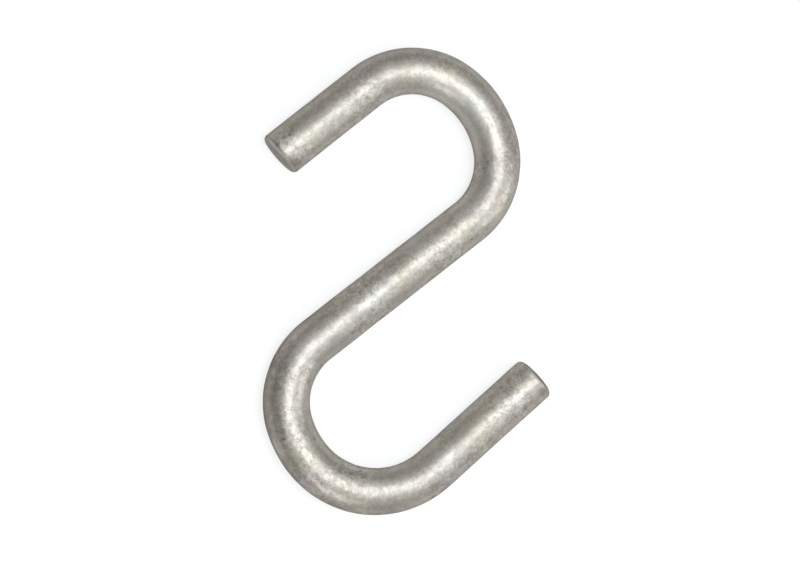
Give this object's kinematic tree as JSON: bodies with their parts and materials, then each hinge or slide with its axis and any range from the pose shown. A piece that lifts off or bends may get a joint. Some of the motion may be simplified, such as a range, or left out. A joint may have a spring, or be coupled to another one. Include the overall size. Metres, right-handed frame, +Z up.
{
  "type": "s hook",
  "caption": "Open S hook bent from one thick round bar, hot-dip galvanised, that links a chain, ring or bar to a load",
  "frame": {"origin": "under the middle of the hook's box, on the surface that it lies on", "axes": "+Y is the line of pull, towards the upper hook, and +Z is up, square to the plane of the bends; the upper hook's open leg is on the -X side and the lower hook's on the +X side"},
  "size_m": [0.0554, 0.0806, 0.008],
  "materials": {
    "galvanised_steel": "hot-dip galvanised, satin, with a fine mottle"
  },
  "bodies": {
    "root": {"s_hook": "galvanised_steel"}
  },
  "joints": []
}
